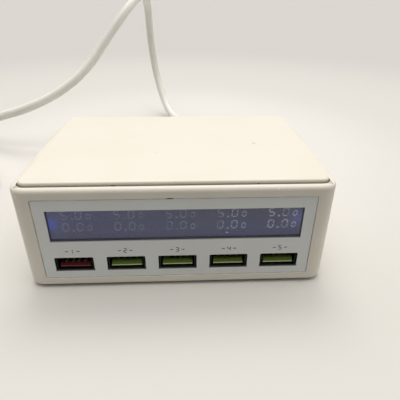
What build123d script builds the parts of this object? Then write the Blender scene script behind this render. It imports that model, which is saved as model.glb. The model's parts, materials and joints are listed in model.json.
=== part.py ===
"""Desktop USB charging station: moulded housing, read-out, ports, electronics and mains lead."""
import os
from math import cos, radians, sin, tan

from build123d import *

os.makedirs("parts", exist_ok=True)

# Housing: outer sizes and walls
case_width = 113.1
case_depth = 81.0
case_height = 40.4
foot_stand = 1.5
wall = 2.2
floor_thickness = 2.2
corner_radius = 6.0
edge_radius = 1.6
base_edge_radius = 0.8

# Top cover and the seat that carries it
cover_rise = 1.35
cover_thickness = 2.6
cover_gap = 0.5
cover_edge_radius = 0.8
seat_width = 1.5
seat_height = 2.0
lip_gap = 0.2
lip_thickness = 1.2
lip_height = 1.4

# Screws that close the housing
post_radius = 4.2
post_height = 20.0
post_gap = 0.4
cover_boss_radius = 3.6
boss_gap = 0.2
case_shank_radius = 1.4
case_screw_grip = 8.0
case_head_radius = 2.6
case_head_height = 1.8
counterbore_radius = 3.0
counterbore_depth = 5.0
shank_gap = 0.2
thread_gap = 0.03
pilot_extra = 1.0
recess_width = 0.7
recess_span = 3.2
recess_depth = 1.0

# Rubber feet
foot_radius = 4.5
foot_recess = 0.6
foot_gap = 0.15
foot_edge_radius = 0.5
foot_inset_x = 16.0
foot_inset_y = 12.0

# Front panel with its seat
panel_margin = 7.25
panel_low_margin = 3.2
panel_top_margin = 3.9
panel_thickness = 1.8
panel_recess = 0.2
panel_gap = 0.1
panel_corner_radius = 0.8
panel_seat_width = 2.0
panel_seat_thickness = 1.3

# Read-out window and display
window_margin = 4.2
window_top_margin = 4.4
window_height = 12.5
window_recess = 0.3
window_gap = 0.1
window_flange = 1.2
window_flange_thickness = 1.0
glass_overlap = 1.4
glass_thickness = 1.0
glass_step = 1.0
backlight_thickness = 3.0
display_board_end = 4.5
display_board_gap = 2.0
display_board_margin = 2.4
slot_depth = 2.0
slot_gap = 0.15
rail_wall = 1.3

# Circuit boards
board_thickness = 1.6
standoff_height = 2.9
board_edge_gap = 1.0
board_notch_gap = 0.6
board_boss_radius = 2.8
board_boss_front_across = 0.66
board_boss_front_inset = 10.7
board_boss_side_inset = 8.5
board_boss_rear_inset = 14.8
board_shank_radius = 1.1
board_shank_length = 4.6
board_head_radius = 2.3
board_head_height = 1.4

# USB receptacles
port_count = 5
port_margin = 4.2
shell_width = 13.2
shell_height = 5.72
shell_length = 14.0
shell_wall = 0.3
shell_corner_radius = 0.7
port_side_gap = 0.5
port_rise_gap = 0.05
port_corner_radius = 0.5
port_setback = 0.6
tongue_width = 11.1
tongue_thickness = 1.84
tongue_gap = 0.4
tongue_setback = 0.3
tongue_chamfer = 0.5
insulator_length = 4.0
insulator_gap = 0.05
contact_width = 1.0
contact_thickness = 0.15
contact_setback = 0.9
contact_places = (-3.5, -1.0, 1.0, 3.5)

# Mains inlet and the connector in it
inlet_x = 0.0
inlet_width = 18.0
inlet_height = 12.6
inlet_depth = 15.0
inlet_gap = 0.2
socket_width = 13.8
socket_height = 7.7
socket_depth = 11.0
pin_radius = 1.18
pin_spacing = 8.6
pin_reach = 9.0
pin_tail = 3.0
nose_gap = 0.2
nose_length = 10.5
pin_hole_gap = 0.15
connector_gap = 0.3
connector_width = 17.0
connector_height = 11.0
connector_length = 13.0
connector_neck = 8.0
connector_edge_radius = 3.0

# Mains lead
cord_diameter = 6.0
bend_share = 0.45
relief_length = 20.0
relief_base_radius = 4.8
relief_end_radius = 3.7
relief_slot = 1.2
relief_slot_count = 4
relief_core_radius = 3.2

# Coil of the spare length, its tie and the plug
coil_x = -145.0
coil_y = 43.0
coil_turns_low = (25.0, 31.0, 37.0)
coil_turns_high = (28.0, 34.0)
coil_layer_rise = 5.2
coil_entry = 35.0
coil_exit = 23.5
tie_thickness = 0.8
tie_gap = 0.05
tie_angle = 16.0
plug_width = 24.0
plug_body_length = 17.0
plug_shoulder = 7.0
plug_corner_radius = 5.0
plug_face_radius = 1.5
blade_width = 6.35
blade_thickness = 1.5
blade_length = 16.0
blade_spacing = 12.7
blade_root = 6.0
blade_tip_radius = 1.6

# Heights that several pieces share
base_z = foot_stand
floor_z = base_z + floor_thickness
rim_z = base_z + case_height
cover_top_z = rim_z + cover_rise
cover_seat_z = cover_top_z - cover_thickness
board_low_z = floor_z + standoff_height
board_z = board_low_z + board_thickness
post_top_z = floor_z + post_height
port_z = board_z + shell_height / 2
inlet_z = board_z + inlet_height / 2
panel_low_z = base_z + panel_low_margin
panel_top_z = rim_z - panel_top_margin
panel_height = panel_top_z - panel_low_z
panel_z = (panel_low_z + panel_top_z) / 2
window_top_z = panel_top_z - window_top_margin
window_z = window_top_z - window_height / 2
display_board_low_z = board_z + shell_height + display_board_gap
display_board_top_z = window_top_z + display_board_margin
display_board_rise = display_board_top_z - display_board_low_z

# Depths that several pieces share, from the front to the back
front_y = -case_depth / 2
rear_y = case_depth / 2
panel_front_y = front_y + panel_recess
panel_back_y = panel_front_y + panel_thickness
front_inner_y = panel_back_y + panel_seat_thickness
rear_inner_y = rear_y - wall
shell_front_y = panel_front_y + port_setback
shell_back_y = shell_front_y + shell_length
tongue_front_y = shell_front_y + tongue_setback
glass_y = panel_back_y + window_flange_thickness
backlight_y = glass_y + 2 * glass_thickness
display_board_y = backlight_y + backlight_thickness
display_back_y = display_board_y + board_thickness
rail_back_y = display_back_y + slot_gap + rail_wall
inlet_back_y = rear_y - inlet_depth
connector_y = rear_y + connector_gap
relief_y = connector_y + connector_length + connector_neck
cord_start_y = relief_y + relief_length

# Widths that several pieces share
inner_width = case_width - 2 * wall
inner_radius = corner_radius - wall
panel_width = case_width - 2 * panel_margin
window_width = panel_width - 2 * window_margin
glass_width = window_width + 2 * glass_overlap
glass_height = window_height + 2 * glass_overlap
display_board_width = inner_width - 2 * display_board_end
board_width = inner_width - 2 * board_edge_gap
rail_inner_x = display_board_width / 2 - slot_depth
port_width = shell_width + 2 * port_side_gap
port_height = shell_height + 2 * port_rise_gap
port_pitch = (panel_width - 2 * port_margin - port_width) / (port_count - 1)
port_places = [(number - (port_count - 1) / 2) * port_pitch for number in range(port_count)]

# Points where screws and feet stand
post_x = inner_width / 2 - seat_width - cover_boss_radius - post_gap
post_front_y = shell_back_y + post_gap + post_radius
post_rear_y = rear_inner_y - seat_width - cover_boss_radius - post_gap
post_points = [(x, y) for x in (-post_x, post_x) for y in (post_front_y, post_rear_y)]
board_boss_front_x = board_boss_front_across * inner_width / 2
board_boss_front_y = shell_back_y + board_boss_front_inset
board_boss_rear_x = inner_width / 2 - board_boss_side_inset
board_boss_rear_y = rear_inner_y - board_boss_rear_inset
board_boss_points = [(x, board_boss_front_y) for x in (-board_boss_front_x, board_boss_front_x)]
board_boss_points += [(x, board_boss_rear_y) for x in (-board_boss_rear_x, board_boss_rear_x)]
foot_x = case_width / 2 - foot_inset_x
foot_y = case_depth / 2 - foot_inset_y
foot_points = [(x, y) for y in (-foot_y, foot_y) for x in (-foot_x, foot_x)]

on_base = (Align.CENTER, Align.CENTER, Align.MIN)
from_top = (Align.CENTER, Align.CENTER, Align.MAX)


def at_y(y):
    """Upright plane at a depth, facing the front, with sketch axes along X and Z."""
    return Plane.XZ.offset(-y)


def radial(x, y, angle):
    """Upright plane through a vertical axis, with sketch axes outward and up."""
    across = radians(angle)
    return Plane((x, y, 0), x_dir=(cos(across), sin(across), 0), z_dir=(sin(across), -cos(across), 0))


def raised(points, z):
    """Plan points lifted to one height."""
    return [(x, y, z) for x, y in points]


def save(piece, name):
    """Label a finished piece and write it to its own file."""
    piece.part.label = name
    export_step(piece.part, f"parts/{name}.step")


# Case body: tub with a rounded rim, panel opening, inlet opening, posts and rails
with BuildPart() as case_body:
    with BuildSketch(Plane.XY.offset(base_z)):
        RectangleRounded(case_width, case_depth, corner_radius)
    extrude(amount=case_height)
    fillet(case_body.edges().group_by(Axis.Z)[-1], edge_radius)
    fillet(case_body.edges().group_by(Axis.Z)[0], base_edge_radius)
    with BuildSketch(Plane.XY.offset(cover_seat_z)):
        RectangleRounded(inner_width, case_depth - 2 * wall, inner_radius)
    extrude(amount=rim_z - cover_seat_z, mode=Mode.SUBTRACT)
    with BuildSketch(Plane.XY.offset(cover_seat_z - seat_height)):
        RectangleRounded(
            inner_width - 2 * seat_width,
            case_depth - 2 * (wall + seat_width),
            inner_radius - seat_width,
        )
    extrude(amount=seat_height, mode=Mode.SUBTRACT)
    with BuildSketch(Plane.XY.offset(floor_z)):
        with Locations((0, (front_inner_y + rear_inner_y) / 2)):
            RectangleRounded(inner_width, rear_inner_y - front_inner_y, inner_radius)
    extrude(amount=cover_seat_z - seat_height - floor_z, mode=Mode.SUBTRACT)
    with BuildSketch(at_y(front_y)):
        with Locations((0, panel_z)):
            RectangleRounded(
                panel_width + 2 * panel_gap, panel_height + 2 * panel_gap, panel_corner_radius
            )
    extrude(amount=-(panel_back_y - front_y), mode=Mode.SUBTRACT)
    with BuildSketch(at_y(panel_back_y)):
        with Locations((0, panel_z)):
            Rectangle(panel_width - 2 * panel_seat_width, panel_height - 2 * panel_seat_width)
    extrude(amount=-panel_seat_thickness, mode=Mode.SUBTRACT)
    with BuildSketch(at_y(rear_y)):
        with Locations((inlet_x, inlet_z)):
            Rectangle(inlet_width + 2 * inlet_gap, inlet_height + 2 * inlet_gap)
    extrude(amount=wall, mode=Mode.SUBTRACT)
    for side in (-1, 1):
        with BuildSketch(Plane.XY.offset(floor_z)):
            with Locations((side * (rail_inner_x + inner_width / 2) / 2, 0)):
                with Locations((0, (backlight_y + rail_back_y) / 2)):
                    Rectangle(inner_width / 2 - rail_inner_x, rail_back_y - backlight_y)
        extrude(amount=display_board_top_z - floor_z)
        with BuildSketch(Plane.XY.offset(display_board_low_z)):
            with Locations((side * (rail_inner_x + slot_depth / 2), 0)):
                with Locations((0, (display_board_y + display_back_y) / 2)):
                    Rectangle(slot_depth + 2 * slot_gap, board_thickness + 2 * slot_gap)
        extrude(amount=display_board_rise, mode=Mode.SUBTRACT)
    with Locations(*raised(post_points, floor_z)):
        Cylinder(post_radius, post_height, align=on_base)
    with Locations(*raised(board_boss_points, floor_z)):
        Cylinder(board_boss_radius, standoff_height, align=on_base)
    with Locations(*raised(board_boss_points, board_low_z)):
        Cylinder(
            board_shank_radius + thread_gap, board_shank_length - board_thickness,
            align=from_top, mode=Mode.SUBTRACT,
        )
    with Locations(*raised(post_points, base_z)):
        Cylinder(
            case_shank_radius + shank_gap, floor_thickness + post_height,
            align=on_base, mode=Mode.SUBTRACT,
        )
        Cylinder(counterbore_radius, counterbore_depth, align=on_base, mode=Mode.SUBTRACT)
    with Locations(*raised(foot_points, base_z)):
        Cylinder(foot_radius + foot_gap, foot_recess, align=on_base, mode=Mode.SUBTRACT)
save(case_body, "case_body")

# Top cover: plate with a rounded edge, locating lip and four screw bosses
with BuildPart() as top_cover:
    with BuildSketch(Plane.XY.offset(cover_seat_z)):
        RectangleRounded(
            inner_width - 2 * cover_gap,
            case_depth - 2 * (wall + cover_gap),
            inner_radius - cover_gap,
        )
    extrude(amount=cover_thickness)
    fillet(top_cover.edges().group_by(Axis.Z)[-1], cover_edge_radius)
    with BuildSketch(Plane.XY.offset(cover_seat_z)):
        RectangleRounded(
            inner_width - 2 * (seat_width + lip_gap),
            case_depth - 2 * (wall + seat_width + lip_gap),
            inner_radius - seat_width - lip_gap,
        )
        Rectangle(
            inner_width - 2 * (seat_width + lip_gap + lip_thickness),
            case_depth - 2 * (wall + seat_width + lip_gap + lip_thickness),
            mode=Mode.SUBTRACT,
        )
    extrude(amount=-lip_height)
    with Locations(*raised(post_points, cover_seat_z)):
        Cylinder(cover_boss_radius, cover_seat_z - post_top_z - boss_gap, align=from_top)
    with Locations(*raised(post_points, post_top_z + boss_gap)):
        Cylinder(
            case_shank_radius + thread_gap, case_screw_grip + pilot_extra,
            align=on_base, mode=Mode.SUBTRACT,
        )
save(top_cover, "top_cover")

# Case screws: pan heads in the counterbores, shanks up into the cover bosses
case_seat_z = base_z + counterbore_depth
with BuildPart() as case_screws:
    with Locations(*raised(post_points, case_seat_z)):
        Cylinder(case_head_radius, case_head_height, align=from_top)
        Cylinder(case_shank_radius, post_top_z + case_screw_grip - case_seat_z, align=on_base)
    with Locations(*raised(post_points, case_seat_z - case_head_height)):
        Box(recess_span, recess_width, recess_depth, align=on_base, mode=Mode.SUBTRACT)
        Box(recess_width, recess_span, recess_depth, align=on_base, mode=Mode.SUBTRACT)
save(case_screws, "case_screws")

# Rubber feet: discs with a softened lower edge, seated in shallow recesses
for number, (x, y) in enumerate(foot_points, 1):
    with BuildPart() as rubber_foot:
        with Locations((x, y, 0)):
            Cylinder(foot_radius, foot_stand + foot_recess, align=on_base)
        fillet(rubber_foot.edges().group_by(Axis.Z)[0], foot_edge_radius)
    save(rubber_foot, f"rubber_foot_{number}")

# Front panel: plate with the read-out window and a row of port openings
with BuildPart() as front_panel:
    with BuildSketch(at_y(panel_front_y)):
        with Locations((0, panel_z)):
            RectangleRounded(panel_width, panel_height, panel_corner_radius)
        with Locations((0, window_z)):
            Rectangle(window_width, window_height, mode=Mode.SUBTRACT)
        with Locations(*[(x, port_z) for x in port_places]):
            RectangleRounded(port_width, port_height, port_corner_radius, mode=Mode.SUBTRACT)
    extrude(amount=-panel_thickness)
save(front_panel, "front_panel")

# Read-out window: clear lens in the panel opening with a flange behind it
with BuildPart() as display_window:
    with BuildSketch(at_y(panel_back_y)):
        with Locations((0, window_z)):
            Rectangle(window_width - 2 * window_gap, window_height - 2 * window_gap)
    extrude(amount=panel_thickness - window_recess)
    with BuildSketch(at_y(panel_back_y)):
        with Locations((0, window_z)):
            Rectangle(window_width + 2 * window_flange, window_height + 2 * window_flange)
    extrude(amount=-window_flange_thickness)
save(display_window, "display_window")

# Display glass: two plates, the front one shorter so that its contact ledge shows
with BuildPart() as lcd_panel:
    with BuildSketch(at_y(glass_y)):
        with Locations((0, window_z + glass_step / 2)):
            Rectangle(glass_width, glass_height - glass_step)
    extrude(amount=-glass_thickness)
    with BuildSketch(at_y(glass_y + glass_thickness)):
        with Locations((0, window_z)):
            Rectangle(glass_width, glass_height)
    extrude(amount=-glass_thickness)
save(lcd_panel, "lcd_panel")

# Backlight: light guide block behind the glass
with BuildPart() as lcd_backlight:
    with BuildSketch(at_y(backlight_y)):
        with Locations((0, window_z)):
            Rectangle(glass_width, glass_height)
    extrude(amount=-backlight_thickness)
save(lcd_backlight, "lcd_backlight")

# Display board: upright board held by the slots of the side rails
with BuildPart() as display_board:
    with BuildSketch(at_y(display_board_y)):
        with Locations((0, display_board_low_z + display_board_rise / 2)):
            Rectangle(display_board_width, display_board_rise)
    extrude(amount=-board_thickness)
save(display_board, "display_board")

# Main board: notched round the posts and rails, drilled for its screws
with BuildPart() as main_board:
    with BuildSketch(Plane.XY.offset(board_low_z)):
        with Locations((0, (front_inner_y + rear_inner_y) / 2)):
            RectangleRounded(
                board_width, rear_inner_y - front_inner_y - 2 * board_edge_gap, inner_radius
            )
        for side in (-1, 1):
            with Locations((side * inner_width / 2, front_inner_y)):
                Rectangle(
                    inner_width - 2 * (rail_inner_x - board_notch_gap),
                    2 * (rail_back_y + board_notch_gap - front_inner_y),
                    mode=Mode.SUBTRACT,
                )
        with Locations(*post_points):
            Circle(post_radius + board_notch_gap, mode=Mode.SUBTRACT)
        with Locations(*board_boss_points):
            Circle(board_shank_radius + shank_gap, mode=Mode.SUBTRACT)
    extrude(amount=board_thickness)
save(main_board, "main_board")

# Board screws
with BuildPart() as board_screws:
    with Locations(*raised(board_boss_points, board_z)):
        Cylinder(board_head_radius, board_head_height, align=on_base)
        Cylinder(board_shank_radius, board_shank_length, align=from_top)
save(board_screws, "board_screws")

# USB receptacles: folded shell, moulded insulator with its tongue, four contacts
insulator_y = shell_back_y - insulator_length
insulator_width = shell_width - 2 * (shell_wall + insulator_gap)
insulator_height = shell_height - 2 * (shell_wall + insulator_gap)
tongue_low_z = board_z + shell_wall + tongue_gap
tongue_top_z = tongue_low_z + tongue_thickness
contact_y = tongue_front_y + contact_setback
for number, x in enumerate(port_places, 1):
    with BuildPart() as usb_shell:
        with BuildSketch(at_y(shell_front_y)):
            with Locations((x, port_z)):
                RectangleRounded(shell_width, shell_height, shell_corner_radius)
                Rectangle(
                    shell_width - 2 * shell_wall, shell_height - 2 * shell_wall, mode=Mode.SUBTRACT
                )
        extrude(amount=-shell_length)
    save(usb_shell, f"usb_shell_{number}")
    with BuildPart() as usb_tongue:
        with BuildSketch(at_y(insulator_y)):
            with Locations((x, port_z)):
                Rectangle(insulator_width, insulator_height)
        extrude(amount=-insulator_length)
        with BuildSketch(at_y(insulator_y)):
            with Locations((x, (tongue_low_z + tongue_top_z) / 2)):
                Rectangle(tongue_width, tongue_thickness)
        extrude(amount=insulator_y - tongue_front_y)
        chamfer(usb_tongue.edges().filter_by(Axis.X).group_by(Axis.Y)[0], tongue_chamfer)
    save(usb_tongue, f"usb_tongue_{number}")
    with BuildPart() as usb_contacts:
        with BuildSketch(Plane.XY.offset(tongue_top_z)):
            with Locations(*[(x + place, (contact_y + insulator_y) / 2) for place in contact_places]):
                Rectangle(contact_width, insulator_y - contact_y)
        extrude(amount=contact_thickness)
    save(usb_contacts, f"usb_contacts_{number}")

# Mains inlet: block on the rear edge of the board with a two-pin socket
with BuildPart() as ac_inlet:
    with BuildSketch(at_y(rear_y)):
        with Locations((inlet_x, inlet_z)):
            Rectangle(inlet_width, inlet_height)
    extrude(amount=inlet_depth)
    with BuildSketch(at_y(rear_y)):
        with Locations((inlet_x, inlet_z)):
            SlotOverall(socket_width, socket_height)
    extrude(amount=socket_depth, mode=Mode.SUBTRACT)
    with BuildSketch(at_y(inlet_back_y)):
        with Locations((inlet_x, inlet_z)):
            with GridLocations(pin_spacing, 0, 2, 1):
                Circle(pin_radius)
    extrude(amount=-(inlet_depth - socket_depth), mode=Mode.SUBTRACT)
save(ac_inlet, "ac_inlet")

# Inlet pins
with BuildPart() as inlet_pins:
    with BuildSketch(at_y(inlet_back_y - pin_tail)):
        with Locations((inlet_x, inlet_z)):
            with GridLocations(pin_spacing, 0, 2, 1):
                Circle(pin_radius)
    extrude(amount=-(pin_tail + inlet_depth - socket_depth + pin_reach))
save(inlet_pins, "inlet_pins")

# Power electronics on the main board: sizes
core_width = 22.0
core_depth = 10.0
core_height = 21.0
core_leg = 3.4
winding_depth = 19.0
winding_gap = 0.3
filter_outer = 8.0
filter_inner = 4.0
filter_height = 8.0
filter_lift = 1.5
filter_wire = 1.4
filter_wire_angle = 110.0
bulk_radius = 7.0
bulk_height = 26.0
output_radius = 4.0
output_height = 18.0
can_edge_radius = 1.0
film_size = (15.0, 7.0, 14.0)
bridge_size = (10.0, 4.0, 11.0)
fuse_radius = 3.2
fuse_height = 8.0
sink_thickness = 2.0
sink_length = 20.0
sink_height = 20.0
sink_fin = 4.0
sink_fin_thickness = 1.2
switch_size = (4.5, 10.0, 15.0)
switch_lift = 3.0
coil_size = (9.0, 9.0, 5.0)
chip_size = (5.0, 4.0, 1.5)
cable_width = 10.0
cable_thickness = 1.0
cable_plug_width = 12.0
cable_plug_size = 4.0
cable_bend_radius = 5.0

# Rows of the power electronics, from the ports to the rear wall
chip_gap = 1.2
front_row_gap = 1.5
rear_row_inset = 8.3
chip_y = shell_back_y + chip_gap + chip_size[1] / 2
front_row_y = chip_y + chip_size[1] / 2 + front_row_gap + coil_size[1] / 2
middle_row_y = (front_row_y + coil_size[1] / 2 + inlet_back_y - pin_tail) / 2
rear_row_y = rear_inner_y - rear_row_inset

# Places across the board, as shares of half the inner width
core_across = 0.07
filter_across = -0.66
film_across = -0.53
bridge_across = 0.31
fuse_across = -0.275
hot_sink_across = 0.41
cold_sink_across = -0.285
cable_across = 0.40
port_coil_across = 0.15
bulk_across = (0.59, 0.70)
output_across = (-0.495, -0.77, -0.475)

# Steps of the round parts out of their rows
filter_step = 5.0
bulk_steps = (-4.0, -1.0)
output_steps = (-9.0, -9.0, -1.0)

# Points where the power electronics stand
half_room = inner_width / 2
core_x = core_across * half_room
filter_x = filter_across * half_room
filter_y = middle_row_y + filter_step
film_x = film_across * half_room
bridge_x = bridge_across * half_room
fuse_x = fuse_across * half_room
hot_sink_x = hot_sink_across * half_room
cold_sink_x = cold_sink_across * half_room
cable_x = cable_across * half_room
port_coil_x = port_coil_across * half_room
bulk_rows = (rear_row_y, middle_row_y)
bulk_points = [(a * half_room, row + step) for a, row, step in zip(bulk_across, bulk_rows, bulk_steps)]
output_rows = (middle_row_y, middle_row_y, front_row_y)
output_points = [
    (a * half_room, row + step) for a, row, step in zip(output_across, output_rows, output_steps)
]

# Display cable: ribbon with a plug at each end, from the upright board down to the main board
with BuildPart() as display_cable:
    with Locations((cable_x, display_back_y, window_z)):
        Box(
            cable_plug_width, cable_plug_size, cable_plug_size,
            align=(Align.CENTER, Align.MIN, Align.CENTER),
        )
    with Locations((cable_x, front_row_y, board_z)):
        Box(cable_plug_width, cable_plug_size, cable_plug_size, align=on_base)
    with BuildSketch(Plane.YZ.offset(cable_x)):
        with BuildLine():
            cable_bend = FilletPolyline(
                (display_back_y + cable_plug_size / 2, window_z),
                (front_row_y, window_z),
                (front_row_y, board_z + cable_plug_size / 2),
                radius=cable_bend_radius,
            )
            offset(cable_bend, cable_thickness / 2, side=Side.BOTH)
        make_face()
    extrude(amount=cable_width / 2, both=True)
save(display_cable, "display_cable")

# Transformer core: upright frame with a centre leg
leg_window = (core_width - 4 * core_leg) / 2
window_rise = core_height - 2 * core_leg
with BuildPart() as transformer_core:
    with BuildSketch(at_y(middle_row_y - core_depth / 2)):
        with Locations((core_x, board_z + core_height / 2)):
            Rectangle(core_width, core_height)
            with GridLocations(leg_window + 2 * core_leg, 0, 2, 1):
                Rectangle(leg_window, window_rise, mode=Mode.SUBTRACT)
    extrude(amount=-core_depth)
save(transformer_core, "transformer_core")

# Transformer winding: taped coil round the centre leg
with BuildPart() as transformer_winding:
    with Locations((core_x, middle_row_y, board_z + core_height / 2)):
        Box(
            2 * leg_window + 2 * core_leg - 2 * winding_gap, winding_depth,
            window_rise - 2 * winding_gap,
        )
    fillet(transformer_winding.edges().filter_by(Axis.Z), core_leg)
    with Locations((core_x, middle_row_y, board_z + core_height / 2)):
        Box(
            2 * (core_leg + winding_gap), core_depth + 2 * winding_gap, window_rise,
            mode=Mode.SUBTRACT,
        )
save(transformer_winding, "transformer_winding")

# Line filter: ring core on a low stand with two windings
filter_axis = Axis((filter_x, filter_y, 0), (0, 0, 1))
filter_low_z = board_z + filter_lift
with BuildPart() as filter_core:
    with Locations((filter_x, filter_y, filter_low_z)):
        Cylinder(filter_outer, filter_height, align=on_base)
        Cylinder(filter_inner, filter_height, align=on_base, mode=Mode.SUBTRACT)
save(filter_core, "filter_core")

with BuildPart() as filter_winding:
    for side in (0, 180):
        with BuildSketch(radial(filter_x, filter_y, side - filter_wire_angle / 2)):
            with Locations(((filter_outer + filter_inner) / 2, filter_low_z + filter_height / 2)):
                Rectangle(
                    filter_outer - filter_inner + 2 * filter_wire, filter_height + 2 * filter_wire
                )
                Rectangle(filter_outer - filter_inner, filter_height, mode=Mode.SUBTRACT)
        revolve(axis=filter_axis, revolution_arc=filter_wire_angle)
save(filter_winding, "filter_winding")

# Electrolytic capacitors: cans standing on the board
for group, points, radius, height in (
    ("bulk_capacitor", bulk_points, bulk_radius, bulk_height),
    ("output_capacitor", output_points, output_radius, output_height),
):
    for number, (x, y) in enumerate(points, 1):
        with BuildPart() as capacitor:
            with Locations((x, y, board_z)):
                Cylinder(radius, height, align=on_base)
            fillet(capacitor.edges().group_by(Axis.Z)[-1], can_edge_radius)
        save(capacitor, f"{group}_{number}")

# Block parts: film capacitor and bridge rectifier
for name, x, y, size in (
    ("film_capacitor", film_x, rear_row_y, film_size),
    ("bridge_rectifier", bridge_x, rear_row_y, bridge_size),
):
    with BuildPart() as block:
        with Locations((x, y, board_z)):
            Box(*size, align=on_base)
        chamfer(block.edges().group_by(Axis.Z)[-1], sink_fin_thickness / 2)
    save(block, name)

# Fuse: small upright can
with BuildPart() as fuse:
    with Locations((fuse_x, rear_row_y, board_z)):
        Cylinder(fuse_radius, fuse_height, align=on_base)
save(fuse, "fuse")

# Heat sinks with their power switch and rectifier
for name, sink_x, side, device in (
    ("primary_heat_sink", hot_sink_x, 1, "power_switch"),
    ("output_heat_sink", cold_sink_x, -1, "output_rectifier"),
):
    with BuildPart() as heat_sink:
        with Locations((sink_x, middle_row_y, board_z)):
            Box(sink_thickness, sink_length, sink_height, align=on_base)
        for end in (-1, 1):
            fin_y = middle_row_y + end * (sink_length - sink_fin_thickness) / 2
            with Locations((sink_x - side * (sink_thickness + sink_fin) / 2, fin_y, board_z)):
                Box(sink_fin, sink_fin_thickness, sink_height, align=on_base)
    save(heat_sink, name)
    with BuildPart() as power_device:
        device_x = sink_x + side * (sink_thickness + switch_size[0]) / 2
        with Locations((device_x, middle_row_y, board_z + switch_lift)):
            Box(*switch_size, align=on_base)
    save(power_device, device)

# Port supply coils and control chips
for number, x in enumerate((-port_coil_x, port_coil_x), 1):
    with BuildPart() as port_coil:
        with Locations((x, front_row_y, board_z)):
            Box(*coil_size, align=on_base)
        chamfer(port_coil.edges().filter_by(Axis.Z), sink_fin_thickness)
    save(port_coil, f"port_coil_{number}")

with BuildPart() as port_chips:
    with Locations(*[(x, chip_y, board_z) for x in port_places]):
        Box(*chip_size, align=on_base)
save(port_chips, "port_chips")

# Cord connector: nose in the inlet, moulded body, tapered relief with slots
with BuildPart() as cord_connector:
    with BuildSketch(at_y(connector_y)):
        with Locations((inlet_x, inlet_z)):
            SlotOverall(socket_width - 2 * nose_gap, socket_height - 2 * nose_gap)
    extrude(amount=nose_length)
    with BuildSketch(at_y(connector_y)):
        with Locations((inlet_x, inlet_z)):
            RectangleRounded(connector_width, connector_height, connector_edge_radius)
    extrude(amount=-connector_length)
    with BuildSketch(at_y(connector_y + connector_length)):
        with Locations((inlet_x, inlet_z)):
            RectangleRounded(connector_width, connector_height, connector_edge_radius)
    with BuildSketch(at_y(relief_y)):
        with Locations((inlet_x, inlet_z)):
            Circle(relief_base_radius)
    loft()
    with BuildSketch(at_y(relief_y)):
        with Locations((inlet_x, inlet_z)):
            Circle(relief_base_radius)
    with BuildSketch(at_y(cord_start_y)):
        with Locations((inlet_x, inlet_z)):
            Circle(relief_end_radius)
    loft()
    relief_step = relief_length / (relief_slot_count + 1)
    for place in range(1, relief_slot_count + 1):
        with BuildSketch(at_y(relief_y + place * relief_step)):
            with Locations((inlet_x, inlet_z)):
                Circle(relief_base_radius)
                Circle(relief_core_radius, mode=Mode.SUBTRACT)
        extrude(amount=relief_slot, mode=Mode.SUBTRACT)
    with BuildSketch(at_y(connector_y - nose_length)):
        with Locations((inlet_x, inlet_z)):
            with GridLocations(pin_spacing, 0, 2, 1):
                Circle(pin_radius + pin_hole_gap)
    extrude(amount=-nose_length, mode=Mode.SUBTRACT)
save(cord_connector, "cord_connector")

# Mains lead: straight runs joined by tangent arcs from the connector to the coil
cord_radius = cord_diameter / 2
coil_low_z = cord_radius + tie_thickness + tie_gap
coil_high_z = coil_low_z + coil_layer_rise
entry_x = coil_x - coil_turns_low[-1]
exit_x = coil_x - coil_turns_high[-1]
entry_y = coil_y + coil_entry
exit_y = coil_y - coil_exit
cord_route = [
    (inlet_x, cord_start_y, inlet_z),
    (inlet_x, 104, inlet_z),
    (3, 129, 7),
    (2, 154, 3),
    (-8, 177, 4),
    (-15, 196, 15),
    (-22, 210, 37),
    (-25, 211, 69),
    (-24, 196, 91),
    (-26, 171, 98),
    (-34, 147, 89),
    (-49, 135, 70),
    (-62, 125, 52),
    (-80, 116, 38),
    (-103, 109, 28),
    (-126, 115, 21),
    (-146, 121, 13),
    (-162, 118, 8),
    (-175, 108, 5),
    (entry_x, 93, coil_low_z),
    (entry_x, entry_y, coil_low_z),
]


def bend_radii(points):
    """Bend at each inner point, as wide as the shorter of its two runs allows."""
    radii = []
    for before, here, after in zip(points, points[1:], points[2:]):
        run_in = Vector(*here) - Vector(*before)
        run_out = Vector(*after) - Vector(*here)
        half_turn = radians(run_in.get_angle(run_out)) / 2
        radii.append(bend_share * min(run_in.length, run_out.length) / tan(half_turn))
    return radii


cord_bends = bend_radii(cord_route)
with BuildPart() as power_cord:
    with BuildLine() as cord_path:
        FilletPolyline(*cord_route, radius=cord_bends)
    with BuildSketch(Plane(origin=cord_path.line @ 0, z_dir=cord_path.line % 0)):
        Circle(cord_radius)
    sweep(path=cord_path.line)
save(power_cord, "power_cord")
print("cord bends", [round(bend) for bend in cord_bends])
print("cord run", round(cord_path.wire().length, 1), "volume", round(power_cord.part.volume))

# Coil of the spare length: one closed ring with the two ends that leave it
coil_axis = Axis((coil_x, coil_y, 0), (0, 0, 1))
coil_centres = [(radius, coil_low_z) for radius in coil_turns_low]
coil_centres += [(radius, coil_high_z) for radius in coil_turns_high]
with BuildPart() as cord_coil:
    with BuildSketch(radial(coil_x, coil_y, 0)):
        with Locations(*coil_centres):
            Circle(cord_radius)
        make_hull()
    revolve(axis=coil_axis)
    with BuildSketch(at_y(entry_y)):
        with Locations((entry_x, coil_low_z)):
            Circle(cord_radius)
    extrude(amount=coil_entry)
    with BuildSketch(at_y(exit_y)):
        with Locations((exit_x, coil_high_z)):
            Circle(cord_radius)
    extrude(amount=-coil_exit)
save(cord_coil, "cord_coil")

# Tie round the coil
with BuildPart() as coil_tie:
    for growth, mode in ((tie_gap + tie_thickness, Mode.ADD), (tie_gap, Mode.SUBTRACT)):
        with BuildSketch(radial(coil_x, coil_y, -tie_angle / 2)):
            with Locations(*coil_centres):
                Circle(cord_radius + growth)
            make_hull()
        revolve(axis=coil_axis, revolution_arc=tie_angle, mode=mode)
save(coil_tie, "coil_tie")

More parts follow.
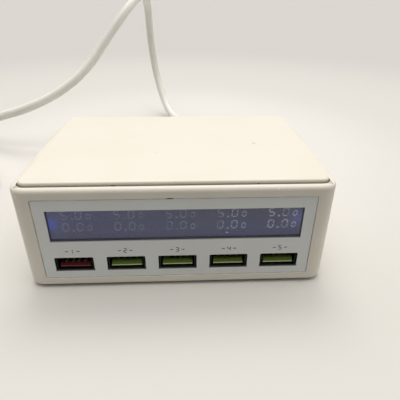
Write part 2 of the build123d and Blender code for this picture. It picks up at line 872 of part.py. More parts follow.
# Mains plug: body that rests on the table, shoulder and tapered relief
plug_height = 2 * coil_high_z
plug_shoulder_y = exit_y - relief_length - plug_shoulder
plug_face_y = plug_shoulder_y - plug_body_length
plug_place = (exit_x, coil_high_z)
blade_places = [(exit_x + side * blade_spacing / 2, coil_high_z) for side in (-1, 1)]
with BuildPart() as mains_plug:
    with BuildSketch(at_y(plug_face_y)):
        with Locations(plug_place):
            RectangleRounded(plug_width, plug_height, plug_corner_radius)
    extrude(amount=-plug_body_length)
    fillet(mains_plug.edges().group_by(Axis.Y)[0], plug_face_radius)
    with BuildSketch(at_y(plug_shoulder_y)):
        with Locations(plug_place):
            RectangleRounded(plug_width, plug_height, plug_corner_radius)
    with BuildSketch(at_y(plug_shoulder_y + plug_shoulder)):
        with Locations(plug_place):
            Circle(relief_base_radius)
    loft()
    with BuildSketch(at_y(plug_shoulder_y + plug_shoulder)):
        with Locations(plug_place):
            Circle(relief_base_radius)
    with BuildSketch(at_y(exit_y)):
        with Locations(plug_place):
            Circle(relief_end_radius)
    loft()
    for place in range(1, relief_slot_count + 1):
        with BuildSketch(at_y(exit_y - place * relief_step)):
            with Locations(plug_place):
                Circle(relief_base_radius)
                Circle(relief_core_radius, mode=Mode.SUBTRACT)
        extrude(amount=-relief_slot, mode=Mode.SUBTRACT)
    with BuildSketch(at_y(plug_face_y)):
        with Locations(*blade_places):
            Rectangle(blade_thickness, blade_width)
    extrude(amount=-blade_root, mode=Mode.SUBTRACT)
save(mains_plug, "mains_plug")

# Plug blades
with BuildPart() as plug_blades:
    with BuildSketch(at_y(plug_face_y + blade_root)):
        with Locations(*blade_places):
            Rectangle(blade_thickness, blade_width)
    extrude(amount=blade_length + blade_root)
    chamfer(plug_blades.edges().filter_by(Axis.X).group_by(Axis.Y)[0], blade_tip_radius)
save(plug_blades, "plug_blades")
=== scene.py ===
"""Looks of the multi port USB desktop charger: finishes, read-out, port numbers, lead, light, camera."""
import json
import math

import bpy
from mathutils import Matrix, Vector


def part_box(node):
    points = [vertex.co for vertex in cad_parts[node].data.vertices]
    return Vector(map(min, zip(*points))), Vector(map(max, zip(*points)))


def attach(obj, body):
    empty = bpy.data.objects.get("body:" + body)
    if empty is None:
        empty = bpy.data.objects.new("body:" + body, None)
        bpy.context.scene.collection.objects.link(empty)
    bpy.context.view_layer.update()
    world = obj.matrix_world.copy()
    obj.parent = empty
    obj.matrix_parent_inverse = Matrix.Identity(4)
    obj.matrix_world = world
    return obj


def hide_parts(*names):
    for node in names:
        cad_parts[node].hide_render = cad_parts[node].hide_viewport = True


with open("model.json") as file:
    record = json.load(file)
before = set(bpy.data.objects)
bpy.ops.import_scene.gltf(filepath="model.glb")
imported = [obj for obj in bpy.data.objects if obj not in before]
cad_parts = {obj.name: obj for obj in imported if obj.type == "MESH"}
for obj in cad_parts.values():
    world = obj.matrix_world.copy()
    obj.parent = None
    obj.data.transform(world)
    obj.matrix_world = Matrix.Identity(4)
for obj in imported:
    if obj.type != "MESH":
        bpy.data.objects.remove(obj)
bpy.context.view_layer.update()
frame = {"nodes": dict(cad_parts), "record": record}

MM = 0.001
PORTS = 5
scene = bpy.context.scene

# Places read from the frame, in metres
panel_low, panel_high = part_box("front_panel")
window_low, window_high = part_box("display_window")
glass_low, glass_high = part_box("lcd_panel")
cover_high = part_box("top_cover")[1]
plug_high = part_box("mains_plug")[1]
shell_low, shell_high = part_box("usb_shell_1")
tongue_boxes = [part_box(f"usb_tongue_{number}") for number in range(1, PORTS + 1)]
tongue_front = tongue_boxes[0][0].y
port_places = [(low.x + high.x) / 2 for low, high in tongue_boxes]
port_pitch = port_places[1] - port_places[0]

# Sizes inside those boxes: the window's hidden flange, the gap beside a port, the foot of a tongue
window_flange = 1.1 * MM
port_side_gap = 0.5 * MM
tongue_low = 8.9 * MM
port_half_width = (shell_high.x - shell_low.x) / 2 + port_side_gap


def metres(place):
    """A place or size given in mm, in the frame's metres."""
    return tuple(value * MM for value in place)


def radians(turn):
    """Angles given in degrees, in radians."""
    return tuple(math.radians(angle) for angle in turn)


def shade(colour, factor):
    """A colour made lighter or darker."""
    return tuple(part * factor for part in colour)


class Surface:
    """A procedural material built step by step, measured in the frame's own metres."""

    # Sockets of the colour mix, whose names repeat for each kind of value
    MIX_FACTOR, MIX_UNDER, MIX_OVER, MIX_RESULT = 0, 6, 7, 2
    # Ends of the noise that count, and how the fine texture is made
    MOTTLE_LOW, MOTTLE_HIGH = 0.35, 0.65
    GRAIN_LOW, GRAIN_HIGH = 0.3, 0.7
    GRAIN_DETAIL = 3.0
    BUMP_STRENGTH = 0.6
    SPECK_CORE = 0.3

    def __init__(self, name, colour, roughness, metallic=0.0):
        self.material = bpy.data.materials.new(name)
        self.material.use_nodes = True
        self.tree = self.material.node_tree
        self.shader = self.tree.nodes["Principled BSDF"]
        self.place = self.tree.nodes.new("ShaderNodeTexCoord").outputs["Object"]
        self.set("Metallic", metallic)
        self.set("Roughness", roughness)
        self.colour = (*colour, 1.0)
        self.roughness = roughness

    def set(self, socket, value):
        """Give one of the shader's own sockets a uniform value."""
        self.shader.inputs[socket].default_value = value

    def put(self, value, socket):
        """Link a socket, or set it to a plain value."""
        if isinstance(value, bpy.types.NodeSocket):
            self.tree.links.new(value, socket)
        else:
            socket.default_value = value

    def math(self, operation, a, b=0.0):
        """One sum on two numbers."""
        node = self.tree.nodes.new("ShaderNodeMath")
        node.operation = operation
        self.put(a, node.inputs[0])
        self.put(b, node.inputs[1])
        return node.outputs[0]

    def vector(self, operation, a, b=None):
        """One sum on two vectors, or on one."""
        node = self.tree.nodes.new("ShaderNodeVectorMath")
        node.operation = operation
        self.put(a, node.inputs[0])
        if b is not None:
            self.put(b, node.inputs[1])
        return node.outputs

    def noise(self, size, detail=2.0):
        """Noise with grains of about the given size."""
        spread = self.vector("MULTIPLY", self.place, (1.0 / size, 1.0 / size, 1.0 / size))
        node = self.tree.nodes.new("ShaderNodeTexNoise")
        node.inputs["Scale"].default_value = 1.0
        node.inputs["Detail"].default_value = detail
        self.put(spread[0], node.inputs["Vector"])
        return node.outputs["Fac"]

    def span(self, value, low, high, to_low=0.0, to_high=1.0):
        """A number spread smoothly from one range to another."""
        node = self.tree.nodes.new("ShaderNodeMapRange")
        node.interpolation_type = "SMOOTHSTEP"
        self.put(value, node.inputs["Value"])
        self.put(low, node.inputs["From Min"])
        self.put(high, node.inputs["From Max"])
        self.put(to_low, node.inputs["To Min"])
        self.put(to_high, node.inputs["To Max"])
        return node.outputs["Result"]

    def axis(self, name):
        """One coordinate of the place on the surface."""
        node = self.tree.nodes.new("ShaderNodeSeparateXYZ")
        self.put(self.place, node.inputs[0])
        return node.outputs[name]

    def near(self, centre, reach, soft=0.5):
        """1 inside an ellipsoid round a point, fading to 0 at its edge."""
        offset = self.vector("SUBTRACT", self.place, tuple(centre))
        scaled = self.vector("DIVIDE", offset[0], tuple(reach))
        length = self.vector("LENGTH", scaled[0])
        return self.span(length["Value"], 1.0 - soft, 1.0, 1.0, 0.0)

    def blend(self, factor, colour):
        """Lay a colour over what is there, by a factor."""
        node = self.tree.nodes.new("ShaderNodeMix")
        node.data_type = "RGBA"
        over = colour if isinstance(colour, bpy.types.NodeSocket) else (*colour, 1.0)
        self.put(factor, node.inputs[self.MIX_FACTOR])
        self.put(self.colour, node.inputs[self.MIX_UNDER])
        self.put(over, node.inputs[self.MIX_OVER])
        self.colour = node.outputs[self.MIX_RESULT]

    def mottle(self, size, colour, share):
        """Slow change of tint across the surface."""
        slow = self.span(self.noise(size), self.MOTTLE_LOW, self.MOTTLE_HIGH, 0.0, share)
        self.blend(slow, colour)

    def specks(self, spacing, radius, colour, share):
        """Sparse dots of dust or pigment."""
        spread = self.tree.nodes.new("ShaderNodeTexVoronoi")
        spread.inputs["Scale"].default_value = 1.0 / spacing
        self.put(self.place, spread.inputs["Vector"])
        core, edge = self.SPECK_CORE * radius / spacing, radius / spacing
        self.blend(self.span(spread.outputs["Distance"], core, edge, share, 0.0), colour)

    def grain(self, size, depth, spread=0.08):
        """Fine moulded texture: bump and a little change of gloss."""
        fine = self.noise(size, self.GRAIN_DETAIL)
        bump = self.tree.nodes.new("ShaderNodeBump")
        bump.inputs["Strength"].default_value = self.BUMP_STRENGTH
        bump.inputs["Distance"].default_value = depth
        self.put(fine, bump.inputs["Height"])
        self.put(bump.outputs["Normal"], self.shader.inputs["Normal"])
        low, high = self.roughness - spread, self.roughness + spread
        gloss = self.span(fine, self.GRAIN_LOW, self.GRAIN_HIGH, low, high)
        self.put(gloss, self.shader.inputs["Roughness"])

    def glow(self, face):
        """Give off the colour built so far as light, and go back to the colour of the unlit face."""
        self.put(self.colour, self.shader.inputs["Emission Color"])
        self.set("Emission Strength", 1.0)
        self.colour = face

    def done(self):
        """Join the colour to the shader."""
        self.put(self.colour, self.shader.inputs["Base Color"])
        return self.material


def seen_rays(tree):
    """1 for what the camera sees, by itself or in metal and glass."""
    ray = tree.nodes.new("ShaderNodeLightPath").outputs
    seen = ray["Is Camera Ray"]
    for kind in ("Is Glossy Ray", "Is Transmission Ray"):
        either = tree.nodes.new("ShaderNodeMath")
        either.operation = "MAXIMUM"
        tree.links.new(seen, either.inputs[0])
        tree.links.new(ray[kind], either.inputs[1])
        seen = either.outputs[0]
    return seen


def plain(
    name, colour, roughness, metallic=0.0,
    size=4 * MM, change=0.88, grain=0.25 * MM, depth=0.01 * MM,
):
    """A moulded, rolled or pressed finish: tint, grain and gloss that vary a little."""
    surface = Surface(name, colour, roughness, metallic)
    surface.mottle(size, shade(colour, change), 1.0)
    surface.grain(grain, depth)
    return surface.done()


# Small marks of use on the housing: place and reach in mm, and colour
HOUSING_MARKS = (
    ((-21.3, -37.9, 41.8), (1.2, 0.3, 0.5), (0.16, 0.14, 0.10)),
    ((28.3, -37.9, 41.8), (0.6, 0.3, 0.5), (0.12, 0.10, 0.08)),
    ((34.9, -40.2, 41.0), (0.5, 0.5, 0.5), (0.95, 0.94, 0.90)),
    ((32.7, -2.2, 43.2), (1.0, 1.0, 1.0), (0.66, 0.61, 0.52)),
    ((-7.7, -11.4, 43.2), (0.8, 0.8, 0.8), (0.78, 0.73, 0.62)),
    ((-18.4, 7.9, 43.2), (0.8, 0.8, 0.8), (0.78, 0.73, 0.62)),
    ((-2.0, -40.5, 38.1), (1.7, 0.6, 0.3), (0.07, 0.055, 0.045)),
)


def ivory():
    """Cream housing plastic: fine spark texture, slow yellowing, dust, marks of use, painted shade and
    grime deepening into the groove round the lid.
    """
    groove_deep, groove_shallow, groove_share = 1.6 * MM, 0.8 * MM, 0.75
    groove_full, groove_end = 0.48 * MM, 0.53 * MM
    groove_shade_and_grime_tint = (0.27, 0.245, 0.20)
    surface = Surface("ivory_plastic", (0.85, 0.805, 0.71), 0.42)
    surface.mottle(30 * MM, (0.83, 0.785, 0.675), 0.7)
    surface.specks(6 * MM, 0.16 * MM, (0.55, 0.50, 0.42), 0.35)
    for place, reach, colour in HOUSING_MARKS:
        surface.blend(surface.near(metres(place), metres(reach)), colour)
    # Painted shade and grime in the groove round the lid: darker the deeper it lies
    deep, shallow = cover_high.z - groove_deep, cover_high.z - groove_shallow
    groove = surface.span(surface.axis("Z"), deep, shallow, groove_share, 0.0)
    for axis, edge in (("X", cover_high.x), ("Y", cover_high.y)):
        across = surface.math("ABSOLUTE", surface.axis(axis))
        inside = surface.span(across, edge + groove_full, edge + groove_end, 1.0, 0.0)
        groove = surface.math("MULTIPLY", groove, inside)
    surface.blend(groove, groove_shade_and_grime_tint)
    surface.grain(0.22 * MM, 0.012 * MM)
    return surface.done()


def panel():
    """Cooler white of the front plate: an uneven darker line at its rim, painted shade on the walls of
    its openings, bluish on the window's, painted shade under the openings, a chip.
    """
    rim_line_tint, opening_wall_shade_tint, window_wall_shade_tint = (0.17, 0.165, 0.15), (0.02, 0.02, 0.022), (0.095, 0.095, 0.125)
    shade_tint, chip_tint = (0.03, 0.03, 0.032), (0.06, 0.05, 0.04)
    rim_full, rim_end = 0.1 * MM, 0.28 * MM
    wall_shade_start, wall_shade_full = 0.1 * MM, 0.3 * MM
    reveal_rise, shade_fade = 1 * MM, 0.3 * MM
    chip_x, chip_reach = -2.4 * MM, (2.2, 1.0, 0.3)
    surface = Surface("panel_plastic", (0.80, 0.82, 0.81), 0.38)
    surface.mottle(18 * MM, (0.78, 0.795, 0.775), 0.8)
    surface.specks(7 * MM, 0.14 * MM, (0.45, 0.43, 0.40), 0.3)
    side = surface.math("SUBTRACT", panel_high.x, surface.math("ABSOLUTE", surface.axis("X")))
    above = surface.math("SUBTRACT", panel_high.z, surface.axis("Z"))
    below = surface.math("SUBTRACT", surface.axis("Z"), panel_low.z)
    rim = surface.math("MINIMUM", surface.math("MINIMUM", side, above), below)
    # A darker, uneven line along the panel's rim
    rim_line_mottle = surface.span(surface.noise(5 * MM), 0.3, 0.6, 0.2, 0.65)
    outline = surface.math("MULTIPLY", surface.span(rim, rim_full, rim_end, 1.0, 0.0), rim_line_mottle)
    surface.blend(outline, rim_line_tint)
    # Painted shade: the walls of the openings, deeper than the front face, are dark
    wall_shade = surface.span(surface.axis("Y"), panel_low.y + wall_shade_start, panel_low.y + wall_shade_full)
    surface.blend(wall_shade, opening_wall_shade_tint)
    # Painted shade on the window's walls, with a painted bluish glow from the display
    upper = surface.span(surface.axis("Z"), window_low.z - reveal_rise, window_low.z)
    surface.blend(surface.math("MULTIPLY", wall_shade, upper), window_wall_shade_tint)
    across = surface.math("ABSOLUTE", surface.axis("X"))
    from_port = surface.math("PINGPONG", across, port_pitch / 2)
    # Painted shade: a thin dark line just under the window and under each port, fading at their ends
    for edge_z, place, half_width, full, end, share in (
        (window_low.z + window_flange, across, window_high.x - window_flange, 0.03 * MM, 0.2 * MM, 0.55),
        (shell_low.z, from_port, port_half_width, 0.2 * MM, 0.45 * MM, 0.85),
    ):
        from_edge = surface.math("ABSOLUTE", surface.math("SUBTRACT", surface.axis("Z"), edge_z))
        line = surface.span(from_edge, full, end, share, 0.0)
        within = surface.span(place, half_width, half_width + shade_fade, 1.0, 0.0)
        surface.blend(surface.math("MULTIPLY", line, within), shade_tint)
    chip = surface.near((chip_x, panel_low.y, panel_high.z), metres(chip_reach))
    surface.blend(chip, chip_tint)
    surface.grain(0.2 * MM, 0.008 * MM)
    return surface.done()


def lens():
    """Clear read-out window with a faint smoke tint and polish marks."""
    surface = Surface("window_clear", (0.05, 0.055, 0.08), 0.08)
    surface.mottle(9 * MM, (0.06, 0.065, 0.09), 1.0)
    surface.grain(1.2 * MM, 0.002 * MM, 0.03)
    surface.set("Alpha", 0.06)
    return surface.done()


def unlit(name, roughness, size):
    """Dark, matt face of the display, before its light is added."""
    surface = Surface(name, (0.015, 0.016, 0.022), roughness)
    surface.set("Specular IOR Level", 0.1)
    surface.mottle(size, (0.010, 0.011, 0.017), 1.0)
    return surface


def liquid_crystal():
    """Dark display glass, lit from its two ends by blue lamps."""
    lit_inset, glow_depth = 2.0 * MM, 20 * MM
    speck_x, speck_z, speck_reach, speck_tint = 18.4 * MM, 21.9 * MM, (0.7, 5, 0.35), (0.26, 0.27, 0.31)
    grey_start, grey_full, grey_share, grey_drop = -25 * MM, 10 * MM, 0.8, 4 * MM
    grey_tint = (0.068, 0.070, 0.080)
    surface = unlit("lcd_glass", 0.3, 12 * MM)
    face = surface.colour
    surface.colour = (0.068, 0.070, 0.108, 1.0)
    surface.mottle(14 * MM, (0.072, 0.073, 0.104), 1.0)
    lit_x = window_low.x + lit_inset
    middle_z = (glass_low.z + glass_high.z) / 2
    for x, z, reach, colour in (
        (lit_x, middle_z - 0.5 * MM, 9 * MM, (0.074, 0.080, 0.135)),
        (lit_x - 0.6 * MM, middle_z - 0.7 * MM, 3.9 * MM, (0.078, 0.086, 0.28)),
        (-lit_x, middle_z + 1 * MM, 6 * MM, (0.105, 0.108, 0.22)),
    ):
        surface.blend(surface.near((x, glass_low.y, z), (reach, glow_depth, reach), 1.0), colour)
    surface.blend(surface.near((speck_x, glass_low.y, speck_z), metres(speck_reach)), speck_tint)
    to_right = surface.span(surface.axis("X"), grey_start, grey_full, 0.0, grey_share)
    to_top = surface.span(surface.axis("Z"), middle_z - grey_drop, glass_high.z)
    surface.blend(surface.math("MULTIPLY", to_right, to_top), grey_tint)
    surface.glow(face)
    surface.grain(0.6 * MM, 0.002 * MM, 0.05)
    return surface.done()


def readout_light():
    """Pale lit bars, faint on the left and clearer towards the right end."""
    clear_start, clear_full = -0.1 * window_high.x, 0.9 * window_high.x
    faint_tint, clear_tint, worn_tint = (0.112, 0.119, 0.158), (0.21, 0.225, 0.275), (0.080, 0.083, 0.120)
    surface = unlit("readout_light", 0.4, 2.0 * MM)
    face = surface.colour
    surface.colour = (*faint_tint, 1.0)
    surface.blend(surface.span(surface.axis("X"), clear_start, clear_full), clear_tint)
    surface.blend(surface.span(surface.noise(3.0 * MM), 0.45, 0.65, 0.0, 0.7), worn_tint)
    surface.glow(face)
    return surface.done()


def tongue(name, shaded_face_tint, front):
    """Coloured port insulator: dark and matt, painted shade on the tongue's front face and deeper inside,
    a painted highlight along the face's lower edge.
    """
    body_factor, mottle_factor, inside_shade_factor = 2.2, 1.8, 0.7
    inside_start, inside_full = tongue_front + 1.2 * MM, tongue_front + 3.0 * MM
    face_full, face_end = tongue_front + 0.4 * MM, tongue_front + 0.9 * MM
    edge_full, edge_end = tongue_low + 0.5 * MM, tongue_low + 1.1 * MM
    surface = Surface(name, shade(shaded_face_tint, body_factor), 0.6)
    surface.set("Specular IOR Level", 0.12)
    surface.mottle(2.5 * MM, shade(shaded_face_tint, mottle_factor), 1.0)
    # Painted shade: darker deeper inside the port
    inside = surface.span(surface.axis("Y"), inside_start, inside_full)
    surface.blend(inside, shade(shaded_face_tint, inside_shade_factor))
    # Painted shade on the front face of the tongue, and a painted highlight along its lower edge
    depth = surface.span(surface.axis("Y"), face_full, face_end, 1.0, 0.0)
    height = surface.span(surface.axis("Z"), edge_full, edge_end, 1.0, 0.0)
    surface.blend(depth, shaded_face_tint)
    surface.blend(surface.math("MULTIPLY", depth, height), front)
    surface.grain(0.15 * MM, 0.006 * MM)
    return surface.done()


def sheath():
    """White flexible lead: a little translucent, with a soft sheen, faint ripples and handling marks."""
    surface = Surface("cord_white", (0.94, 0.91, 0.845), 0.40)
    surface.set("Subsurface Weight", 0.5)
    surface.set("Subsurface Radius", (1.0, 0.95, 0.85))
    surface.set("Subsurface Scale", 5 * MM)
    surface.mottle(16 * MM, (0.90, 0.87, 0.80), 0.7)
    surface.specks(8 * MM, 0.25 * MM, (0.45, 0.43, 0.40), 0.35)
    surface.grain(0.8 * MM, 0.02 * MM, 0.06)
    return surface.done()


materials = {
    "ivory_plastic": ivory(),
    "panel_plastic": panel(),
    "window_clear": lens(),
    "lcd_glass": liquid_crystal(),
    "backlight_guide": plain("backlight_guide", (0.75, 0.76, 0.78), 0.3),
    "foot_rubber": plain("foot_rubber", (0.035, 0.034, 0.033), 0.75, grain=0.4 * MM, depth=0.03 * MM),
    "screw_steel": plain("screw_steel", (0.50, 0.49, 0.47), 0.35, 1.0, size=1.5 * MM),
    "board_laminate": plain("board_laminate", (0.03, 0.14, 0.06), 0.45, grain=0.5 * MM),
    # Steel darkened to near black: painted shade, so the shells read dark inside the ports
    "shell_steel": plain("shell_steel", (0.035, 0.035, 0.036), 0.4, 1.0, size=3 * MM),
    # Tongues: colour of the shaded front face, then the painted highlight of its lower edge
    "tongue_maroon": tongue("tongue_maroon", (0.060, 0.004, 0.008), (0.31, 0.09, 0.09)),
    "tongue_green": tongue("tongue_green", (0.098, 0.155, 0.026), (0.88, 1.0, 0.55)),
    # Gold dulled and darkened: painted shade, so the contacts read dark inside the ports
    "contact_gold": plain("contact_gold", (0.25, 0.235, 0.11), 0.4, 0.4, size=1 * MM),
    "inlet_black": plain("inlet_black", (0.02, 0.02, 0.021), 0.5),
    "pin_brass": plain("pin_brass", (0.70, 0.58, 0.34), 0.3, 1.0, size=1.5 * MM),
    "ferrite": plain("ferrite", (0.045, 0.043, 0.045), 0.55),
    "winding_tape": plain("winding_tape", (0.72, 0.55, 0.10), 0.35),
    "copper_wire": plain("copper_wire", (0.72, 0.33, 0.14), 0.35, 1.0, size=1.5 * MM, change=0.7),
    "capacitor_sleeve": plain("capacitor_sleeve", (0.03, 0.035, 0.07), 0.35),
    "film_yellow": plain("film_yellow", (0.75, 0.53, 0.05), 0.4),
    "fuse_brown": plain("fuse_brown", (0.20, 0.08, 0.035), 0.45),
    "sink_aluminium": plain("sink_aluminium", (0.75, 0.75, 0.76), 0.4, 1.0, size=2 * MM),
    "chip_black": plain("chip_black", (0.025, 0.025, 0.026), 0.5),
    "ribbon_white": plain("ribbon_white", (0.74, 0.73, 0.70), 0.5),
    "cord_white": sheath(),
    "tie_grey": plain("tie_grey", (0.16, 0.16, 0.165), 0.6, size=2 * MM, grain=0.5 * MM, depth=0.05 * MM),
    "blade_metal": plain("blade_metal", (0.72, 0.68, 0.60), 0.28, 1.0, size=3 * MM),
}

# Every carried-over solid takes the finish of its slot in the record
slot_of = {entry["node"]: entry["material_slot"] for entry in frame["record"]["subparts"]}
for name, node in frame["nodes"].items():
    node.data.materials.clear()
    node.data.materials.append(materials[slot_of[name]])


def add_mesh(name, points, faces, material):
    """A new mesh piece that rides on the part."""
    mesh = bpy.data.meshes.new(name)
    mesh.from_pydata([tuple(point) for point in points], [], faces)
    mesh.materials.append(material)
    piece = bpy.data.objects.new(name, mesh)
    scene.collection.objects.link(piece)
    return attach(piece, "root")


# Seven-segment numerals: which bars each numeral lights
BARS = {
    "0": "abcdef", "1": "bc", "2": "abdeg", "3": "abcdg", "4": "bcfg",
    "5": "acdfg", "6": "acdefg", "7": "abc", "8": "abcdefg", "9": "abcdfg",
}
BAR_END_GAP = 0.4


def bar_outline(bar, width, height, stroke):
    """Outline of one lit bar, with pointed ends, about the numeral's centre."""
    half_w, half_h, half_s = width / 2, height / 2, stroke / 2
    lines = {
        "a": ((-half_w, half_h), (half_w, half_h)),
        "b": ((half_w, half_h), (half_w, 0)),
        "c": ((half_w, 0), (half_w, -half_h)),
        "d": ((-half_w, -half_h), (half_w, -half_h)),
        "e": ((-half_w, 0), (-half_w, -half_h)),
        "f": ((-half_w, half_h), (-half_w, 0)),
        "g": ((-half_w, 0), (half_w, 0)),
    }
    start, end = (Vector(point) for point in lines[bar])
    along = (end - start).normalized()
    across = Vector((-along.y, along.x)) * half_s
    start, end = start + along * half_s * BAR_END_GAP, end - along * half_s * BAR_END_GAP
    shoulder = along * half_s
    return [
        start, start + shoulder + across, end - shoulder + across,
        end, end - shoulder - across, start + shoulder - across,
    ]


def numeral(text, x, z, width, height, stroke, slant=0.08):
    """Outlines, in the plane of the front, of one numeral."""
    outlines = [bar_outline(bar, width, height, stroke) for bar in BARS[text]]
    return [[(x + point.x + slant * point.y, z + point.y) for point in outline] for outline in outlines]


def rectangle(x, z, half_width, half_height):
    """Outline, in the plane of the front, of a rectangle about its centre."""
    left, right, foot, head = x - half_width, x + half_width, z - half_height, z + half_height
    return [(left, foot), (right, foot), (right, head), (left, head)]


def plate(outlines, y, thickness):
    """Points and faces of thin raised outlines on an upright plane that faces the front."""
    points, faces = [], []
    for outline in outlines:
        first, count = len(points), len(outline)
        points += [(x, y - thickness, z) for x, z in outline] + [(x, y, z) for x, z in outline]
        faces.append(list(range(first, first + count)))
        faces.append(list(range(first + 2 * count - 1, first + count - 1, -1)))
        for here in range(count):
            after = (here + 1) % count
            faces.append([first + here, first + count + here, first + count + after, first + after])
    return points, faces


# Read-out: two rows of plain numbers over each port
column_pitch = 18.5 * MM
column_first = -39.7 * MM
row_heights = (30.3 * MM, 25.4 * MM)
row_texts = ("500", "000")
numeral_places = (0.0, 5.1 * MM, 8.5 * MM)
numeral_sizes = (1.0, 1.0, 0.66)
numeral_width, numeral_height, numeral_stroke = 1.9 * MM, 3.1 * MM, 0.5 * MM
point_place, point_size = 2.7 * MM, 0.36 * MM
readout_thickness = 0.02 * MM
readout = []
for column in range(PORTS):
    x = column_first + column * column_pitch
    for z, text in zip(row_heights, row_texts):
        for digit, place, size in zip(text, numeral_places, numeral_sizes):
            low_z = z - (1.0 - size) * numeral_height / 2
            width, height = numeral_width * size, numeral_height * size
            readout += numeral(digit, x + place, low_z, width, height, numeral_stroke)
        readout.append(rectangle(x + point_place, z - numeral_height / 2, point_size, point_size))
points, faces = plate(readout, glass_low.y, readout_thickness)
readout_numbers = add_mesh("readout_numbers", points, faces, readout_light())

# Port numbers printed on the panel, with a dash on each side
legend_z = 16.7 * MM
legend_height, legend_width, legend_stroke = 1.75 * MM, 1.05 * MM, 0.32 * MM
dash_place, dash_half = 2.1 * MM, 0.55 * MM
legend_thickness = 0.012 * MM
legends = []
for number, x in enumerate(port_places, 1):
    centre_x = x - legend_width / 2 if number == 1 else x
    legends += numeral(str(number), centre_x, legend_z, legend_width, legend_height, legend_stroke, 0.0)
    for dash_x in (x - dash_place, x + dash_place):
        legends.append(rectangle(dash_x, legend_z, dash_half, legend_stroke / 2))
points, faces = plate(legends, panel_low.y, legend_thickness)
ink = plain("legend_ink", (0.045, 0.043, 0.04), 0.55, size=0.8 * MM, change=0.7)
add_mesh("port_numbers", points, faces, ink)

# Mains lead, in mm: the same route as the solid tube, then the turns of the coil, then the plug
cord_radius = 3.0 * MM
cord_route = [
    (0, 81.8, 14.5), (0, 104, 14.5), (3, 129, 7), (2, 154, 3), (-8, 177, 4), (-15, 196, 15),
    (-22, 210, 37), (-25, 211, 69), (-24, 196, 91), (-26, 171, 98), (-34, 147, 89), (-49, 135, 70),
    (-62, 125, 52), (-80, 116, 38), (-103, 109, 28), (-126, 115, 21), (-146, 121, 13),
    (-162, 118, 8), (-175, 108, 5), (-182, 93, 3.85), (-182, 78, 3.85),
]
coil_x, coil_y = -145.0, 43.0
coil_low_z, coil_high_z = 3.85, 9.05
coil_turns = ((37, coil_low_z), (31, coil_low_z), (25, coil_low_z), (28, coil_high_z), (34, coil_high_z))
points_per_turn = 20
step_share = 0.5
outward = 1.0 / math.cos(math.pi / points_per_turn)
cord_points = list(cord_route)
for turn, (radius, height) in enumerate(coil_turns):
    next_radius, next_height = coil_turns[min(turn + 1, len(coil_turns) - 1)]
    for place in range(points_per_turn):
        share = place / points_per_turn
        shift = max(0.0, share - step_share) / (1.0 - step_share)
        angle = math.pi + 2 * math.pi * share
        reach = outward * (radius + shift * (next_radius - radius))
        cord_points.append((
            coil_x + reach * math.cos(angle),
            coil_y + reach * math.sin(angle),
            height + shift * (next_height - height),
        ))
exit_x = coil_x - coil_turns[-1][0]
plug_y = plug_high.y / MM
for y in (coil_y, (coil_y + plug_y) / 2, plug_y):
    cord_points.append((exit_x, y, coil_high_z))

cord_curve = bpy.data.curves.new("mains_lead", "CURVE")
cord_curve.dimensions = "3D"
cord_curve.bevel_depth = cord_radius
cord_curve.bevel_resolution = 6
cord_curve.resolution_u = 8
cord_curve.use_fill_caps = True
line = cord_curve.splines.new("NURBS")
line.points.add(len(cord_points) - 1)
for point, place in zip(line.points, cord_points):
    point.co = (*metres(place), 1.0)
line.order_u = 3
line.use_endpoint_u = True
cord_curve.materials.append(materials["cord_white"])
mains_lead = bpy.data.objects.new("mains_lead", cord_curve)
scene.collection.objects.link(mains_lead)
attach(mains_lead, "root")
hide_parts("power_cord", "cord_coil")

# Floor: pale, with painted pools of light round the part, and darker as a source of light, most of all in
# front
floor_reach = 8.0
floor_corners = ((-1, -1), (1, -1), (1, 1), (-1, 1))
pool_centre, pool_soft = (0.0, 0.12, 0.0), 0.6
painted_light_pools = (((0.50, 0.50, 1.0), (0.72, 0.703, 0.665)), ((0.21, 0.21, 1.0), (0.81, 0.785, 0.755)))
bounce_tint, front_bounce_tint = (0.51, 0.50, 0.485), (0.05, 0.05, 0.05)
front_full, front_end = -0.16, -0.09
floor_mesh = bpy.data.meshes.new("floor")
corners = [(x * floor_reach, y * floor_reach, 0) for x, y in floor_corners]
floor_mesh.from_pydata(corners, [], [(0, 1, 2, 3)])
floor = bpy.data.objects.new("floor", floor_mesh)
scene.collection.objects.link(floor)
floor_surface = Surface("floor", (0.63, 0.61, 0.593), 0.8)
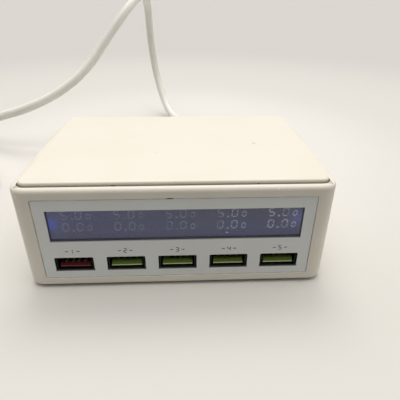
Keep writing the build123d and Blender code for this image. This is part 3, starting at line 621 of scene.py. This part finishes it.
# Painted pools of light round the part, shown only to the camera and in reflections
for reach, colour in painted_light_pools:
    floor_surface.blend(floor_surface.near(pool_centre, reach, pool_soft), colour)
shown = floor_surface.colour
floor_surface.colour = (*bounce_tint, 1.0)
in_front = floor_surface.span(floor_surface.axis("Y"), front_full, front_end, 1.0, 0.0)
floor_surface.blend(in_front, front_bounce_tint)
floor_surface.blend(seen_rays(floor_surface.tree), shown)
floor_surface.set("Specular IOR Level", 0.0)
floor_mesh.materials.append(floor_surface.done())

# Weak even fill from the world, which shows a pale backdrop to the camera
world = bpy.data.worlds.new("studio")
scene.world = world
world.use_nodes = True
sky = world.node_tree
fill = sky.nodes["Background"]
fill.inputs["Color"].default_value = (1.0, 0.985, 0.955, 1.0)
fill.inputs["Strength"].default_value = 0.02
backdrop = sky.nodes.new("ShaderNodeBackground")
backdrop.inputs["Color"].default_value = (0.70, 0.675, 0.645, 1.0)
choice = sky.nodes.new("ShaderNodeMixShader")
sky.links.new(seen_rays(sky), choice.inputs[0])
sky.links.new(fill.outputs[0], choice.inputs[1])
sky.links.new(backdrop.outputs[0], choice.inputs[2])
sky.links.new(choice.outputs[0], sky.nodes["World Output"].inputs["Surface"])

# Soft lamps above, behind, in front and on both sides: strength, spread and turn in degrees
lamp_tint = (1.0, 0.98, 0.945)
for name, energy, spread, turn in (
    ("key", 0.87, 80, (-18, 0, 0)),
    ("back", 0.92, 30, (-30, 0, 0)),
    ("front", 1.03, 60, (20, 0, 0)),
    ("left", 0.56, 80, (0, -50, -16)),
    ("right", 0.85, 75, (0, 50, 4)),
):
    lamp = bpy.data.lights.new(name, "SUN")
    lamp.energy = energy
    lamp.angle = math.radians(spread)
    lamp.color = lamp_tint
    lamp_object = bpy.data.objects.new(name, lamp)
    lamp_object.rotation_euler = radians(turn)
    scene.collection.objects.link(lamp_object)

# Camera at the photograph's viewpoint: place in mm, turn in degrees
camera_place = (2.652, -153.819, 100.225)
camera_turn = (61.013, -0.391, -2.572)
camera_data = bpy.data.cameras.new("camera")
camera_data.sensor_width = 36.0
camera_data.lens = 34.247
camera_data.clip_start = 0.01
camera_data.clip_end = 50.0
camera = bpy.data.objects.new("camera", camera_data)
camera.location = metres(camera_place)
camera.rotation_euler = radians(camera_turn)
scene.collection.objects.link(camera)
scene.camera = camera

scene.view_settings.view_transform = "Standard"
